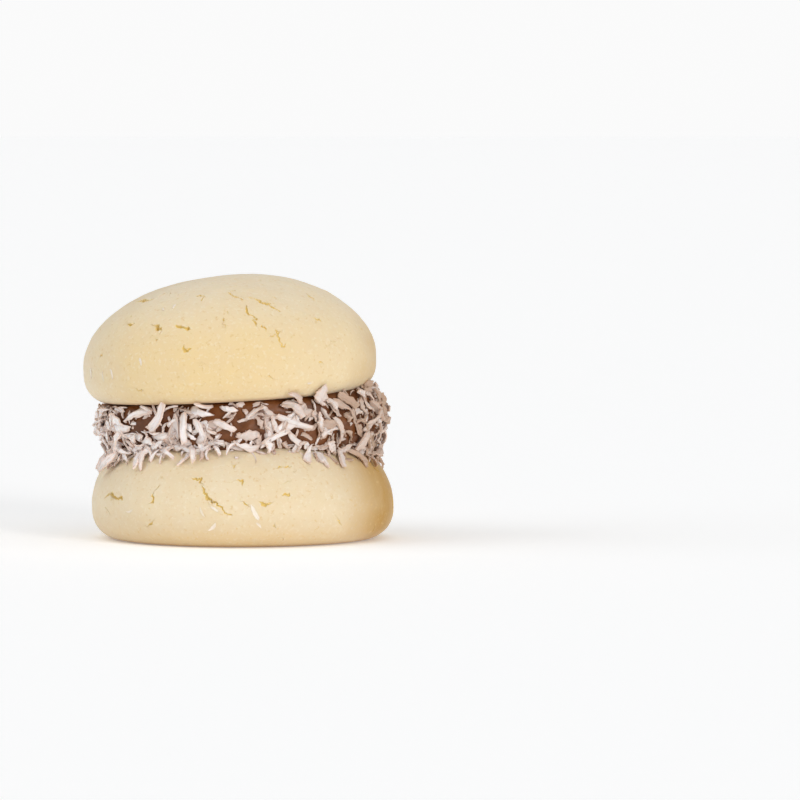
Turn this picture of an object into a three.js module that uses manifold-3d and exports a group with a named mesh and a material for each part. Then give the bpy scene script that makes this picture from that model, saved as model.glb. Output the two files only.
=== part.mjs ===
// An alfajor cookie: two domed cornstarch biscuits with a thick layer of dulce de leche between
// them, its edge rolled in shredded coconut.
// Millimetres, +Z up, -Y is the front. The origin lies on the surface the alfajor stands on, under
// the middle of its bounding box.
import * as THREE from "three";
import { mergeVertices } from "three/addons/utils/BufferGeometryUtils.js";
import Module from "manifold-3d";

const wasm = await Module();
wasm.setup();

// Driving dimensions of a biscuit. Its outline is two curves that meet at the belly, the widest
// level: an ellipse up to the top, and a squarer curve down to the flat, baked underside.
const BISCUIT_RADIUS = 25;
const BELLY_HEIGHT = 6; // of the belly above the underside
const DOME_RISE = 14.8; // of the top above the belly
const DOME_POWER = 2;
const UNDER_REACH = 8; // the lower curve's own depth; the underside cuts it off at BELLY_HEIGHT
const UNDER_POWER = 3.3;

// The stack.
const UPPER_SIZE = 0.975; // of the upper biscuit against the lower one
const UPPER_SEAT = new THREE.Vector3(-1.6, 0.4, 23.5); // the middle of its underside
const UPPER_TILT = THREE.MathUtils.degToRad(3); // its right side is lifted
const GAP = 0.3; // clearance between the filling and each biscuit
const STACK_CENTRE = new THREE.Vector2(-0.5, 0); // of the whole, from the lower biscuit's axis

// The filling's wall: wider at its sides than at the front, and bulging at half its height.
const WALL_RADIUS = 19.3;
const WALL_OVAL = 1.9; // more at both sides, less at the front and back
const WALL_BULGE = 2;
const WALL_WAVE = 0.25; // slow unevenness round the wall
const WALL_FOOT = 14; // heights between which it bulges
const WALL_HEAD = 26;
const WALL_START = 10.7; // inside the lower biscuit's dome

// The coconut: the largest of its shreds, each a strip, often narrower at one end, with a keel
// pressed into the filling.
const SHREDS_ROLLED_ON = 640; // all round
const SHREDS_MODELLED = 90; // the largest of those that stick
const SHRED_LENGTH = [1.6, 5.2]; // smallest and largest
const SHRED_WIDTH = [0.5, 1.5];
const SHRED_TAPER = [0.6, 1.4]; // width at one end, as a share of the mean
const WEDGE_TAPER = 1.9;
const WEDGES = 1 / 6; // share of the shreds
const SHRED_TIP = 0.3; // least width at an end
const SHRED_BEND = 2.8; // a shred longer than this follows the bed's curve
const SHRED_KEEL = 0.5; // depth of its keel in the bed
const SHRED_PROUD = 0.12; // least height over the bed
const BIG_SHRED_PROUD = 0.7; // they lie on the others
const FRONT = 62; // azimuth, to both sides, up to which the coconut is thinner
const THINNED = 0.6; // share of it missing there

// Repeatable random number from 0 to 1: draw k for item i.
function draw(i, k) {
  const x = Math.sin(i * 12.9898 + k * 78.233) * 43758.5453;
  return x - Math.floor(x);
}

const mix = THREE.MathUtils.lerp;
const fraction = (x) => x - Math.floor(x);

// A biscuit swelled all round by `grow`, with its underside's middle at the origin.
function outline(size, grow = 0) {
  return {
    radius: BISCUIT_RADIUS * size + grow,
    belly: BELLY_HEIGHT * size,
    bottom: -grow,
    above: { reach: DOME_RISE * size + grow, power: DOME_POWER },
    below: { reach: UNDER_REACH * size + grow, power: UNDER_POWER },
  };
}

function radiusAt(shape, z) {
  const { reach, power } = z > shape.belly ? shape.above : shape.below;
  const share = Math.min(1, Math.abs(z - shape.belly) / reach);
  return shape.radius * (1 - share ** power) ** (1 / power);
}

// Slow waves over a crust: [height in mm, waves across x, y and z, phase].
const CRUST_WAVES = [
  [0.15, 1.9, 2.7, 0.6, 0.4],
  [0.13, -3.1, 1.4, 2.2, 2.1],
  [0.1, 2.3, -3.8, 1.9, 4.4],
  [0.07, 4.9, 3.6, -2.8, 1.3],
  [0.05, -5.2, 6.1, 3.7, 5.6],
];

// How far the crust stands out in a direction seen from the belly's middle.
function swell(direction, phase) {
  return CRUST_WAVES.reduce(
    (sum, [height, x, y, z, own]) =>
      sum + height * Math.sin(x * direction.x + y * direction.y + z * direction.z + own + phase),
    0,
  );
}

// The crust's point in a direction seen from the belly's middle.
function crustPoint(direction, shape, phase) {
  const { reach, power } = direction.z > 0 ? shape.above : shape.below;
  const flat = Math.hypot(direction.x, direction.y) / shape.radius;
  const far = (flat ** power + (Math.abs(direction.z) / reach) ** power) ** (-1 / power);
  const point = direction.clone().multiplyScalar(far + swell(direction, phase));
  return point.setZ(point.z + shape.belly);
}

function directionOf(azimuth, elevation) {
  const a = THREE.MathUtils.degToRad(azimuth);
  const e = THREE.MathUtils.degToRad(elevation);
  return new THREE.Vector3(Math.sin(a) * Math.cos(e), -Math.cos(a) * Math.cos(e), Math.sin(e));
}

// The geometry with every vertex moved by `move`, welded so that it is closed.
function reshaped(geometry, move) {
  const place = geometry.getAttribute("position");
  const point = new THREE.Vector3();
  for (let i = 0; i < place.count; i++) {
    move(point.fromBufferAttribute(place, i));
    place.setXYZ(i, point.x, point.y, point.z);
  }
  geometry.deleteAttribute("normal");
  geometry.deleteAttribute("uv");
  return mergeVertices(geometry, 1e-4);
}

function solidOf(geometry) {
  return new wasm.Manifold(
    new wasm.Mesh({
      numProp: 3,
      vertProperties: geometry.getAttribute("position").array,
      triVerts: new Uint32Array(geometry.index.array),
    }),
  );
}

// The solid's largest body, so that loose scraps are dropped.
function geometryOf(solid) {
  const bodies = solid.simplify(0.005).decompose();
  const mesh = bodies.sort((a, b) => b.volume() - a.volume())[0].getMesh();
  const geometry = new THREE.BufferGeometry();
  geometry.setAttribute("position", new THREE.BufferAttribute(mesh.vertProperties, 3));
  geometry.setIndex(new THREE.BufferAttribute(mesh.triVerts, 1));
  return geometry;
}

// A bar of triangular section from its corners, three at each station along it: right, left and
// inward, seen from outside and looking along the bar.
function barGeometry(corners) {
  const steps = corners.length / 3 - 1;
  const index = [0, 1, 2, 3 * steps + 2, 3 * steps + 1, 3 * steps];
  for (let step = 0; step < steps; step++) {
    for (let side = 0; side < 3; side++) {
      const a = 3 * step + side;
      const b = 3 * step + ((side + 1) % 3);
      index.push(a, a + 3, b, b, a + 3, b + 3);
    }
  }
  const geometry = new THREE.BufferGeometry().setFromPoints(corners);
  geometry.setIndex(index);
  return geometry;
}

const BISCUIT_SIDES = 54;
const UNDER_ROWS = 4;
const DOME_ROWS = 8;

// One biscuit without its cracks, turned and then swelled unevenly. The underside stays flat.
function crustGeometry(size, phase, grow = 0) {
  const shape = outline(size, grow);
  const profile = [new THREE.Vector2(0, shape.bottom)];
  for (let row = 0; row < UNDER_ROWS; row++) {
    const z = mix(shape.bottom, shape.belly, Math.sin((row / UNDER_ROWS) * (Math.PI / 2)));
    profile.push(new THREE.Vector2(radiusAt(shape, z), z));
  }
  for (let row = 0; row < DOME_ROWS; row++) {
    const z = shape.belly + shape.above.reach * Math.sin((row / DOME_ROWS) * (Math.PI / 2));
    profile.push(new THREE.Vector2(radiusAt(shape, z), z));
  }
  profile.push(new THREE.Vector2(0, shape.belly + shape.above.reach));
  const turned = new THREE.LatheGeometry(profile, BISCUIT_SIDES).rotateX(Math.PI / 2);
  return reshaped(turned, (point) => {
    const arm = point.clone().setZ(point.z - shape.belly);
    const share = 1 + swell(arm.clone().normalize(), phase) / arm.length();
    const up = arm.z > 0 ? arm.z * share : arm.z;
    point.set(arm.x * share, arm.y * share, shape.belly + up);
  });
}

// Cracks torn in the crust as it rose: azimuth (from the front to the right) and elevation (seen
// from the belly's middle) of one end, then of the other, in degrees, and the width.
const LOWER_CRACKS = [
  [-64, 3, -50, 3, 0.8],
  [-19, 13, -13, 10, 0.4],
  [-13, 8, -2, -1, 0.65],
  [8, 4, 14, 4, 0.45],
  [17, 6, 20, 7, 0.5],
];
const UPPER_CRACKS = [
  [-34, 19, -27, 16, 0.55],
  [-21, 18, -14, 16, 0.7],
  [-17, 37, -11, 36, 0.4],
  [3, 39, 9, 34, 0.5],
  [15, 34, 28, 23, 0.5],
  [12, 28, 14, 16, 0.5],
];
const CRACKS_BEHIND = 7; // on each biscuit's sides and back, spread evenly
const CRACK_STEP = 1.3;
const CRACK_WANDER = 1.7; // degrees to either side
const CRACK_DEPTH = 1.1; // times its width
const CRACK_RIM = 0.4; // the cut starts this far over the crust

// A crack of this length in mm from its start, with its heading: 0 to the right, 90 up.
function aimed(azimuth, elevation, heading, length, width) {
  const turn = THREE.MathUtils.radToDeg(length / BISCUIT_RADIUS);
  const angle = THREE.MathUtils.degToRad(heading);
  const across = (turn * Math.cos(angle)) / Math.cos(THREE.MathUtils.degToRad(elevation));
  return [azimuth, elevation, azimuth + across, elevation + turn * Math.sin(angle), width];
}

function cracksBehind(seed) {
  return Array.from({ length: CRACKS_BEHIND }, (_, i) =>
    aimed(
      mix(62, 292, (i + draw(seed + i, 1)) / CRACKS_BEHIND),
      mix(2, 38, draw(seed + i, 2)),
      mix(-50, 50, draw(seed + i, 3)),
      mix(3, 8, draw(seed + i, 4)),
      mix(0.45, 0.85, draw(seed + i, 5)),
    ),
  );
}

// Places on the crust along the crack's wandering line.
function crackCourse([azimuth, elevation, azimuthToo, elevationToo], shape, phase, seed) {
  const start = crustPoint(directionOf(azimuth, elevation), shape, phase);
  const length = start.distanceTo(crustPoint(directionOf(azimuthToo, elevationToo), shape, phase));
  const steps = Math.max(2, Math.round(length / CRACK_STEP));
  return Array.from({ length: steps + 1 }, (_, step) => {
    const t = step / steps;
    const loose = CRACK_WANDER * Math.min(1, 6 * t * (1 - t));
    const a = mix(azimuth, azimuthToo, t) + loose * (2 * draw(seed, 2 * step) - 1);
    const e = mix(elevation, elevationToo, t) + loose * (2 * draw(seed, 2 * step + 1) - 1);
    return crustPoint(directionOf(a, e), shape, phase);
  });
}

// A wedge along the crack, widest in the middle and narrow at its ends.
function crackGeometry(crack, shape, phase, seed) {
  const places = crackCourse(crack, shape, phase, seed);
  const steps = places.length - 1;
  const corners = places.flatMap((place, step) => {
    const rise = (place.z - shape.belly) * (shape.radius / shape.above.reach) ** 2;
    const normal = place.clone().setZ(rise).normalize();
    const along = places[Math.min(steps, step + 1)].clone().sub(places[Math.max(0, step - 1)]);
    const across = normal.clone().cross(along).normalize();
    const half = (crack[4] / 2) * mix(0.3, 1, Math.sin((Math.PI * step) / steps));
    const rim = place.clone().addScaledVector(normal, CRACK_RIM);
    return [
      rim.clone().addScaledVector(across, -1.4 * half),
      rim.clone().addScaledVector(across, 1.4 * half),
      place.clone().addScaledVector(normal, -2 * half * CRACK_DEPTH),
    ];
  });
  return barGeometry(corners);
}

function crackedCrust(size, phase, cracks, seed) {
  const shape = outline(size);
  const wedges = [...cracks, ...cracksBehind(seed)].map((crack, i) =>
    solidOf(crackGeometry(crack, shape, phase, seed + 50 + i)),
  );
  return solidOf(crustGeometry(size, phase)).subtract(wasm.Manifold.union(wedges));
}

const LOWER_PHASE = 1.05;
const UPPER_PHASE = 5.25;

// Moves a biscuit's geometry to the upper one's place in the stack.
function seated(geometry) {
  return geometry.rotateY(-UPPER_TILT).translate(...UPPER_SEAT.toArray());
}

function wallRadius(azimuth, z) {
  const height = THREE.MathUtils.clamp((z - WALL_FOOT) / (WALL_HEAD - WALL_FOOT), 0, 1);
  return (
    WALL_RADIUS -
    WALL_OVAL * Math.cos(2 * azimuth) +
    WALL_WAVE * (Math.sin(3 * azimuth + 1) + Math.sin(7 * azimuth + 2.3)) +
    WALL_BULGE * Math.sin(Math.PI * height)
  );
}

const WALL_SIDES = 48;
const WALL_ROWS = 5;

function wallGeometry() {
  const profile = [new THREE.Vector2(0, WALL_START)];
  for (let row = 0; row <= WALL_ROWS; row++) {
    profile.push(new THREE.Vector2(WALL_RADIUS, mix(WALL_START, WALL_HEAD, row / WALL_ROWS)));
  }
  profile.push(new THREE.Vector2(0, WALL_HEAD));
  const turned = new THREE.LatheGeometry(profile, WALL_SIDES).rotateX(Math.PI / 2);
  return reshaped(turned, (point) => {
    if (Math.hypot(point.x, point.y) < 1) return;
    const azimuth = Math.atan2(point.x, -point.y);
    const radius = wallRadius(azimuth, point.z);
    point.set(radius * Math.sin(azimuth), -radius * Math.cos(azimuth), point.z);
  });
}

const UPPER_FOOT = 23; // radius at which the upper biscuit's side starts to rise

// How far out the upper biscuit's side stands at this height, and 0 below it.
function upperRadius(azimuth, z) {
  const shape = outline(UPPER_SIZE, GAP);
  const [east, south] = [Math.sin(azimuth), -Math.cos(azimuth)];
  const own = z - UPPER_SEAT.z - (UPPER_FOOT * east - UPPER_SEAT.x) * Math.tan(UPPER_TILT);
  if (own <= 0) return 0;
  const ahead = east * UPPER_SEAT.x + south * UPPER_SEAT.y;
  const off = UPPER_SEAT.x ** 2 + UPPER_SEAT.y ** 2 - radiusAt(shape, own) ** 2;
  return ahead + Math.sqrt(Math.max(0, ahead * ahead - off));
}

// The coconut's bed is the wall, the lower biscuit's shoulder and the upper biscuit's side,
// whichever stands out furthest.
const BED_BELOW = 1.8; // reach of the bed below the filling's lower edge
const BED_SHORT = 0.4; // bare strip at the filling's upper edge
const BED_STEP = 0.7; // its slope is taken this far above and below a point
const BED_STEEPEST = 1.2;

function bedRadius(azimuth, z) {
  const shoulder = radiusAt(outline(1, GAP), z);
  return Math.max(wallRadius(azimuth, z), shoulder, upperRadius(azimuth, z));
}

// A point this far out from the bed.
function overBed(azimuth, z, proud) {
  const radius = bedRadius(azimuth, z);
  const under = bedRadius(azimuth, z - BED_STEP);
  const slope = (under - bedRadius(azimuth, z + BED_STEP)) / (2 * BED_STEP);
  const rise = THREE.MathUtils.clamp(slope, -BED_STEEPEST, BED_STEEPEST);
  const out = new THREE.Vector3(Math.sin(azimuth), -Math.cos(azimuth), rise).normalize();
  const place = new THREE.Vector3(radius * Math.sin(azimuth), -radius * Math.cos(azimuth), z);
  return place.addScaledVector(out, proud);
}

function bedHeights(azimuth) {
  const { radius, belly, above } = outline(1);
  const wall = wallRadius(azimuth, WALL_FOOT);
  const foot = belly + above.reach * Math.sqrt(1 - (wall / radius) ** 2);
  let head = UPPER_SEAT.z;
  while (head < WALL_HEAD && upperRadius(azimuth, head) < wallRadius(azimuth, WALL_HEAD - 2)) {
    head += 0.1;
  }
  return [foot - BED_BELOW, head - BED_SHORT];
}

// A strip from one place on the bed to another, each with its own width and height over the bed.
function shredGeometry([start, end]) {
  const corners = [];
  const along = overBed(...end.at, end.proud).sub(overBed(...start.at, start.proud));
  const steps = along.length() > SHRED_BEND ? 2 : 1;
  along.normalize();
  for (let step = 0; step <= steps; step++) {
    const t = step / steps;
    const azimuth = mix(start.at[0], end.at[0], t);
    const z = mix(start.at[1], end.at[1], t);
    const middle = overBed(azimuth, z, mix(start.proud, end.proud, t));
    const keel = overBed(azimuth, z, -SHRED_KEEL);
    const across = middle.clone().sub(keel).cross(along).normalize();
    const half = mix(start.width, end.width, t) / 2;
    corners.push(
      middle.clone().addScaledVector(across, -half),
      middle.clone().addScaledVector(across, half),
      keel,
    );
  }
  return barGeometry(corners);
}

// Patches at the front that stayed bare: azimuth and height of the middle, half width and height.
const BARE_PATCHES = [
  [-67, 17.8, 4, 1.2], [-53, 22.3, 7, 1.1], [-44, 19, 4, 0.8], [-33, 21.8, 4, 1.9],
  [-12, 21.4, 6, 1.7], [-11, 16.7, 3, 1.1], [-6, 23.6, 8, 0.6], [-2, 20.9, 5, 1.3],
  [20, 22.7, 4, 1.4], [38, 17.1, 4, 1.5], [50, 24, 4, 0.9],
];

// The big shreds that lie on top there: azimuth and height of both ends, and the width at each.
const BIG_SHREDS = [
  [-67, 16.7, -70, 14.7, 2.2, 2.2], [-66, 20, -54, 19, 1.3, 1.3], [-60, 17.8, -47, 17.7, 1.3, 1.7],
  [-56, 20.2, -42, 21.8, 1.2, 1.7], [-50, 15.5, -46, 12.3, 1, 1.2], [-48, 17, -41, 16.5, 2, 1.9],
  [-38, 15.4, -29, 14, 0.6, 0.7], [-31, 24, -43, 19, 1.4, 1.4], [-31, 20.8, -33, 17, 1.2, 1.6],
  [-29, 16.3, -14, 16.3, 1.2, 1.3], [-26, 21.7, -26, 17, 1.3, 1.1], [-24, 22.5, -11, 21.3, 2.2, 0.3],
  [-23, 16, -19, 13.5, 1, 0.9], [-20, 20.7, -16, 17.2, 1.6, 1], [-19, 16, -16, 14, 0.9, 0.9],
  [-11, 20.5, -1, 19, 1, 1.1], [-9, 23.3, 0, 22, 0.8, 1], [-2, 17.5, 10, 15.8, 0.5, 1.8],
  [-1, 17.3, -5, 14.4, 0.7, 0.7], [-1, 18.2, 10, 18.4, 1.5, 1.7], [11, 16.7, 24, 19, 1, 0.8],
  [11, 23.7, 18, 20.8, 1.4, 1.2], [14, 17.3, 14, 14.7, 1.7, 0.3], [16, 21.3, 19, 18.5, 0.7, 1],
  [18, 21.2, 34, 19.2, 1.2, 1.2], [21, 23, 30, 20.8, 1.2, 1.2], [22, 25.5, 30, 22.8, 0.8, 1.1],
  [24, 18.6, 31, 16.7, 0.9, 1], [28, 22.2, 35, 22, 1.2, 1.3], [29, 23.2, 31, 21.3, 1.3, 0.9],
  [35, 21.8, 39, 18.8, 1.1, 1], [38, 15.4, 40, 12.5, 2.8, 0.4], [38, 26.7, 38, 22.9, 0.3, 3.8],
  [41, 23.6, 46, 21.8, 1.5, 1.1], [44, 17.2, 47, 15.3, 1.3, 1.3], [45, 20.8, 49, 17, 0.9, 0.9],
  [50, 15.6, 56, 16.4, 1.8, 1.4], [50, 24.4, 60, 22.2, 1.3, 1.3], [53, 15.1, 48, 12.3, 4.1, 0.7],
  [56, 21.6, 61, 18, 1.1, 0.8],
];

function bigShreds() {
  return BIG_SHREDS.map(([west, low, east, high, width, widthToo]) => [
    { at: [THREE.MathUtils.degToRad(west), low], width, proud: BIG_SHRED_PROUD },
    { at: [THREE.MathUtils.degToRad(east), high], width: widthToo, proud: BIG_SHRED_PROUD },
  ]);
}

function isBare(azimuth, z) {
  return BARE_PATCHES.some(
    ([middle, height, wide, high]) => Math.hypot((azimuth - middle) / wide, (z - height) / high) < 1,
  );
}

// The other shreds, spread evenly all round, the largest first, and thinner at the front.
function scatteredShreds() {
  const found = [];
  for (let i = 0; found.length < SHREDS_MODELLED; i++) {
    const seed = 1000 + i;
    const turn = 360 * fraction(i * 0.75487767 + 0.31) - 180;
    const azimuth = THREE.MathUtils.degToRad(turn);
    const [foot, head] = bedHeights(azimuth);
    const z = mix(foot, head, fraction(i * 0.56984029));
    if (isBare(turn, z) || (Math.abs(turn) < FRONT && draw(seed, 40) < THINNED)) continue;
    const length = mix(...SHRED_LENGTH, 1 - Math.sqrt(i / SHREDS_ROLLED_ON));
    const width = mix(...SHRED_WIDTH, draw(seed, 42));
    const room = Math.min(1, (head + 0.4 - z) / (length / 2));
    const heading = Math.asin(room) * (2 * draw(seed, 43) - 1);
    const run = ((length / 2) * Math.cos(heading)) / bedRadius(azimuth, z);
    const rise = (length / 2) * Math.sin(heading);
    const taper = draw(seed, 44) < 1 - WEDGES ? mix(...SHRED_TAPER, draw(seed, 45)) : WEDGE_TAPER;
    const piled = mix(0.5, 1, Math.abs(Math.sin(azimuth)) ** 3);
    const proud = SHRED_PROUD + piled * draw(seed, 46);
    const lifted = proud + piled * draw(seed, 48) ** 2;
    const [low, high] = draw(seed, 49) < 0.5 ? [proud, lifted] : [lifted, proud];
    const widths = [width * taper, width * (2 - taper)].map((end) => Math.max(SHRED_TIP, end));
    found.push([
      { at: [azimuth - run, z - rise], width: widths[0], proud: low },
      { at: [azimuth + run, z + rise], width: widths[1], proud: high },
    ]);
  }
  return found;
}

function bakedCrust() {
  return new THREE.MeshStandardMaterial({ color: 0xeed9ab, roughness: 0.85, metalness: 0 });
}

function dulceDeLeche() {
  return new THREE.MeshStandardMaterial({ color: 0x6e4a34, roughness: 0.4, metalness: 0 });
}

function lowerBiscuit() {
  const crust = crackedCrust(1, LOWER_PHASE, LOWER_CRACKS, 100);
  const mesh = new THREE.Mesh(geometryOf(crust), bakedCrust());
  mesh.name = "lower_biscuit";
  return mesh;
}

function upperBiscuit() {
  const crust = crackedCrust(UPPER_SIZE, UPPER_PHASE, UPPER_CRACKS, 400);
  const mesh = new THREE.Mesh(seated(geometryOf(crust)), bakedCrust());
  mesh.name = "upper_biscuit";
  return mesh;
}

// The filling runs through the whole alfajor. The coconut is stuck fast to it, clear of the biscuits.
function filling() {
  const shreds = [...bigShreds(), ...scatteredShreds()].map((ends) => solidOf(shredGeometry(ends)));
  const below = solidOf(crustGeometry(1, LOWER_PHASE, GAP));
  const over = solidOf(seated(crustGeometry(UPPER_SIZE, UPPER_PHASE, GAP)));
  const layer = wasm.Manifold.union([solidOf(wallGeometry()), ...shreds]);
  const mesh = new THREE.Mesh(geometryOf(layer.subtract(below).subtract(over)), dulceDeLeche());
  mesh.name = "filling";
  return mesh;
}

const alfajor = new THREE.Group();
alfajor.name = "alfajor";
alfajor.add(lowerBiscuit(), filling(), upperBiscuit());
alfajor.position.set(-STACK_CENTRE.x, -STACK_CENTRE.y, 0);

export default alfajor;
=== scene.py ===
import math

import bmesh
import bpy
import numpy as np
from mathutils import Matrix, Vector, kdtree, noise


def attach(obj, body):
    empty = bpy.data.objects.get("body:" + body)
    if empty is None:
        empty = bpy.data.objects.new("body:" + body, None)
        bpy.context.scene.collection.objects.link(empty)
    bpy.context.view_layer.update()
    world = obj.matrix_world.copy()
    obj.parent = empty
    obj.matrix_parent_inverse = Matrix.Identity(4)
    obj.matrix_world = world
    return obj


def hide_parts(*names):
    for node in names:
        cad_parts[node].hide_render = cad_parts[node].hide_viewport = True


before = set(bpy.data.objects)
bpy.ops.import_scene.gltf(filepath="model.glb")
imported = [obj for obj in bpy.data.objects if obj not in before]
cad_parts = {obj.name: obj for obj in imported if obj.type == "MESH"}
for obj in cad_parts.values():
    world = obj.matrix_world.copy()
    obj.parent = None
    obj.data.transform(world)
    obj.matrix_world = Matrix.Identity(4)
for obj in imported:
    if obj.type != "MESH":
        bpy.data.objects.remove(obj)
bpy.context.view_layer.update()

# ---------------------------------------------------------------------------------------------
# Lower biscuit: a domed biscuit of cornstarch dough, cut round and baked pale on a flat tray. Its
# underside is flat, with a thin browned edge, and its crust has torn into short cracks as it rose.
# Sizes are in mm, as its maker would measure it, and MM turns them into the frame's metres.
# ---------------------------------------------------------------------------------------------
MM = 0.001
STACK_CENTRE = np.array([-0.5, 0.0, 0.0])
BISCUIT_RADIUS = 25.0
BELLY_HEIGHT = 6.0
DOME_RISE, DOME_POWER = 14.8, 2.0
UNDER_REACH, UNDER_POWER = 8.0, 3.3
FOOT_ROUNDING = 40.0
FOOT_RADIUS = BISCUIT_RADIUS * (1 - (BELLY_HEIGHT / UNDER_REACH) ** UNDER_POWER) ** (1 / UNDER_POWER)
# the flat underside starts this far inside the foot's edge, and a ring this wide runs round it
UNDERSIDE_EDGE, UNDERSIDE_RIM = 1.2, 1.5
# slow waves of the crust: height, how fast each goes along x, y and z, and where it starts
CRUST_WAVES = (
    (0.15, 1.9, 2.7, 0.6, 0.4),
    (0.13, -3.1, 1.4, 2.2, 2.1),
    (0.1, 2.3, -3.8, 1.9, 4.4),
    (0.07, 4.9, 3.6, -2.8, 1.3),
    (0.05, -5.2, 6.1, 3.7, 5.6),
)
# height and size of the lumps and the grain on it
CRUST_RELIEF = (0.1, 6), (0.055, 2.6), (0.03, 1.1), (0.016, 0.5)
LOWER_PHASE = 1.05
# a crack turns a corner at each step, off its line by up to the wander in degrees, and is sampled
# this often on the way; its depth is a share of its half width
CRACK_STEP, CRACK_WANDER, CRACK_SAMPLES = 1.3, 1.7, 14
CRACK_DEPTH = 1.9
# the crust stands up along a crack, and less on its other side
LIP_WIDTH, LIP_OTHER_SIDE = 0.28, 0.25
# faces are halved again within these shares of the margin and the half width round a crack, and
# the first time also round the foot, this far below the belly
FINER_NEAR_CRACKS, FINER_MARGIN = (0.9, 0.5, 0.28), 0.3
FINER_BELOW = 5.2
CRACKS_BEHIND = 7
HAIRLINES = 76
# shares of the way round and of the way up that spread one place after another evenly
EVEN_ROUND, EVEN_UP = 0.75487767, 0.56984029
# azimuth and elevation of one end, then of the other, in degrees, and the width
LOWER_CRACKS = (
    (-64, 3, -50, 3, 0.8),
    (-19, 13, -13, 10, 0.4),
    (-13, 8, -2, -1, 0.65),
    (8, 4, 14, 4, 0.45),
    (17, 6, 20, 7, 0.5),
)
LOWER_HAIRLINES = (
    (-14, 10.3, -13.2, 8, 0.35),
    (-37, 2, -32, 10, 0.26),
    (-1, 12, 2, 10, 0.3),
    (1, 4, 5, 2, 0.28),
    (16, 17, 24, 18, 0.28),
)
# how golden it has baked, from 0 to 1, at each height
LOWER_GOLD = (0, 1.2, 3, 20), (0.9, 0.45, 0.12, 0.08)
# painted shade on its right side: the crust is painted brown from this far right of the axis, fully
# this much further right, this much further in for each mm above the belly and below it; and the
# share that its foot has browned
LOWER_PAINTED_SHADE_AND_FOOT = 14.5, 9.3, 0.3, 0.3, 0.36
BROWNED_FOOT = 6.0


def draw(i, k):
    """A repeatable random number from 0 to 1: draw k for item i."""
    x = math.sin(i * 12.9898 + k * 78.233) * 43758.5453
    return x - math.floor(x)


def mix(low, high, share):
    return low + (high - low) * share


def unit(v):
    return v / np.linalg.norm(v, axis=-1, keepdims=True)


def waves(direction, phase):
    """How far the crust stands out in each direction seen from the belly's middle."""
    return sum(
        h * np.sin(direction @ np.array([x, y, z]) + own + phase) for h, x, y, z, own in CRUST_WAVES
    )


def crust_points(direction, size, phase):
    """Points of the crust in these directions, from the belly's middle."""
    up = direction[:, 2] > 0
    reach = np.where(up, DOME_RISE, UNDER_REACH) * size
    power = np.where(up, DOME_POWER, UNDER_POWER)
    flat = np.hypot(direction[:, 0], direction[:, 1]) / (BISCUIT_RADIUS * size)
    steep = np.abs(direction[:, 2])
    curve = (flat**power + (steep / reach) ** power) ** (1 / power)
    under = np.where(up, 0, steep / (BELLY_HEIGHT * size))
    far = (curve**FOOT_ROUNDING + under**FOOT_ROUNDING) ** (-1 / FOOT_ROUNDING)
    far = np.where(up, 1 / curve, far)
    swollen = direction * (far + waves(direction, phase))[:, None]
    swollen[:, 2] = np.where(up, swollen[:, 2], direction[:, 2] * far)
    return swollen


def crust_normals(points, size):
    up = points[:, 2] > 0
    reach = np.where(up, DOME_RISE, UNDER_REACH) * size
    power = np.where(up, DOME_POWER, UNDER_POWER)
    radius = np.maximum(np.hypot(points[:, 0], points[:, 1]), 1e-6)
    out = (radius / (BISCUIT_RADIUS * size)) ** (power - 1) / (BISCUIT_RADIUS * size) / radius
    rise = np.sign(points[:, 2]) * (np.abs(points[:, 2]) / reach) ** (power - 1) / reach
    return unit(np.column_stack([points[:, 0] * out, points[:, 1] * out, rise]))


def direction_of(azimuth, elevation):
    a, e = math.radians(azimuth), math.radians(elevation)
    return np.array([[math.sin(a) * math.cos(e), -math.cos(a) * math.cos(e), math.sin(e)]])


def crack_course(crack, size, phase, seed):
    """Samples along one crack: point, direction across it, half width."""
    azimuth, elevation, azimuth_too, elevation_too, width = crack
    ends = np.vstack([direction_of(azimuth, elevation), direction_of(azimuth_too, elevation_too)])
    length = float(np.linalg.norm(np.diff(crust_points(ends, size, phase), axis=0)))
    steps = max(2, round(length / CRACK_STEP))
    corners = []
    for step in range(steps + 1):
        t = step / steps
        loose = CRACK_WANDER * min(1, 6 * t * (1 - t))
        a = mix(azimuth, azimuth_too, t) + loose * (2 * draw(seed, 2 * step) - 1)
        e = mix(elevation, elevation_too, t) + loose * (2 * draw(seed, 2 * step + 1) - 1)
        corners.append(crust_points(direction_of(a, e), size, phase)[0])
    samples = []
    for step in range(steps):
        a, b = corners[step], corners[step + 1]
        normal = crust_normals(a[None], size)[0]
        side = unit(np.cross(normal, b - a))
        for i in range(CRACK_SAMPLES):
            share = i / CRACK_SAMPLES
            t = (step + share) / steps
            jag = 0.5 * noise.noise(Vector((t * length * 1.7, seed, 3.1)))
            jag += 0.25 * noise.noise(Vector((t * length * 4.5, seed, 7.7)))
            ragged = 0.85 + 1.1 * noise.noise(Vector((t * length * 1.1, seed, 11.3)))
            half = width / 2 * mix(0.35, 1, math.sin(math.pi * t)) * max(0.5, ragged)
            samples.append((mix(a, b, share) + side * jag * min(1, 4 * t, 4 - 4 * t), side, half))
    return samples


def aimed(azimuth, elevation, heading, length, width):
    """A crack of this length in mm from its start, with its heading: 0 to the right, 90 up."""
    turn = math.degrees(length / BISCUIT_RADIUS)
    across = turn * math.cos(math.radians(heading)) / math.cos(math.radians(elevation))
    up = turn * math.sin(math.radians(heading))
    return azimuth, elevation, azimuth + across, elevation + up, width


def cracks_behind(seed):
    return [
        aimed(
            mix(62, 292, (i + draw(seed + i, 1)) / CRACKS_BEHIND),
            mix(2, 38, draw(seed + i, 2)),
            mix(-50, 50, draw(seed + i, 3)),
            mix(3, 8, draw(seed + i, 4)),
            mix(0.45, 0.85, draw(seed + i, 5)),
        )
        for i in range(CRACKS_BEHIND)
    ]


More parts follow.
